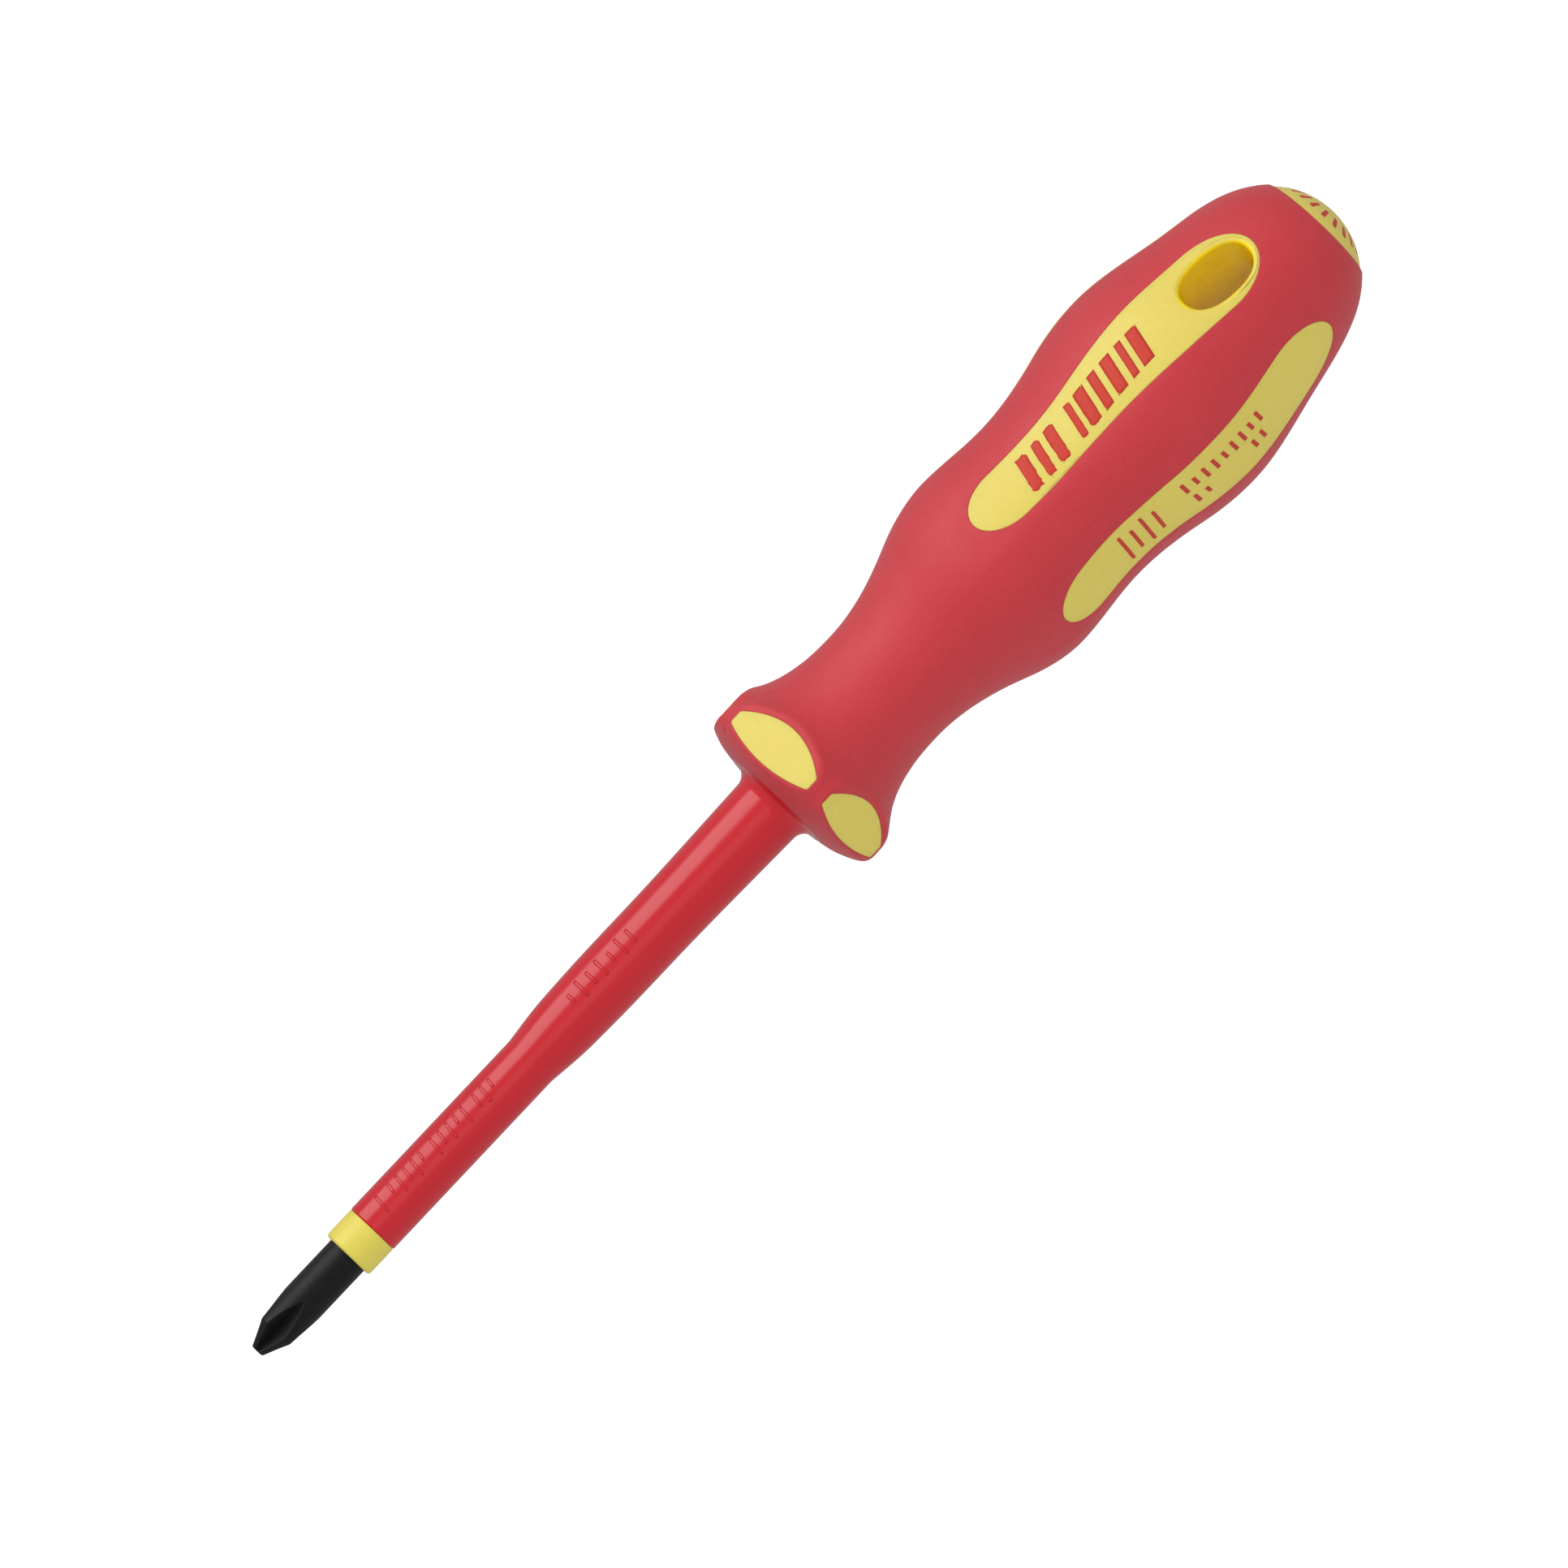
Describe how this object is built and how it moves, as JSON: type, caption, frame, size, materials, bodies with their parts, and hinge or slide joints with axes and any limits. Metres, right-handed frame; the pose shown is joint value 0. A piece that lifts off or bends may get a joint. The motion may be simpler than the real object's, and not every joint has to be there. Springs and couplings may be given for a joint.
{
  "type": "insulated screwdriver",
  "caption": "Insulated cross-point screwdriver: a sleeved steel blade in a swelling hard and soft handle with a flat-sided guard and a hanging hole.",
  "frame": {"origin": "on the blade's axis at the very end of the tip, where the tip meets a screw", "axes": "+X along the blade's axis from the tip to the end cap; +Z along the hanging hole, out of the handle panel that the hole opens in; +Y across"},
  "size_m": [0.208, 0.034, 0.034],
  "materials": {
    "black_steel": "satin black phosphated steel",
    "yellow_insulation": "satin yellow plastic",
    "red_sleeve": "glossy moulded red plastic",
    "hub_plastic": "plain hard plastic, hidden",
    "yellow_core": "satin yellow hard plastic",
    "red_grip": "fine matte red soft plastic"
  },
  "bodies": {
    "root": {"blade": "black_steel", "inner_insulation": "yellow_insulation", "outer_insulation": "red_sleeve", "inner_core": "hub_plastic", "handle_core": "yellow_core", "end_cap": "yellow_core", "soft_grip": "red_grip"}
  },
  "joints": []
}
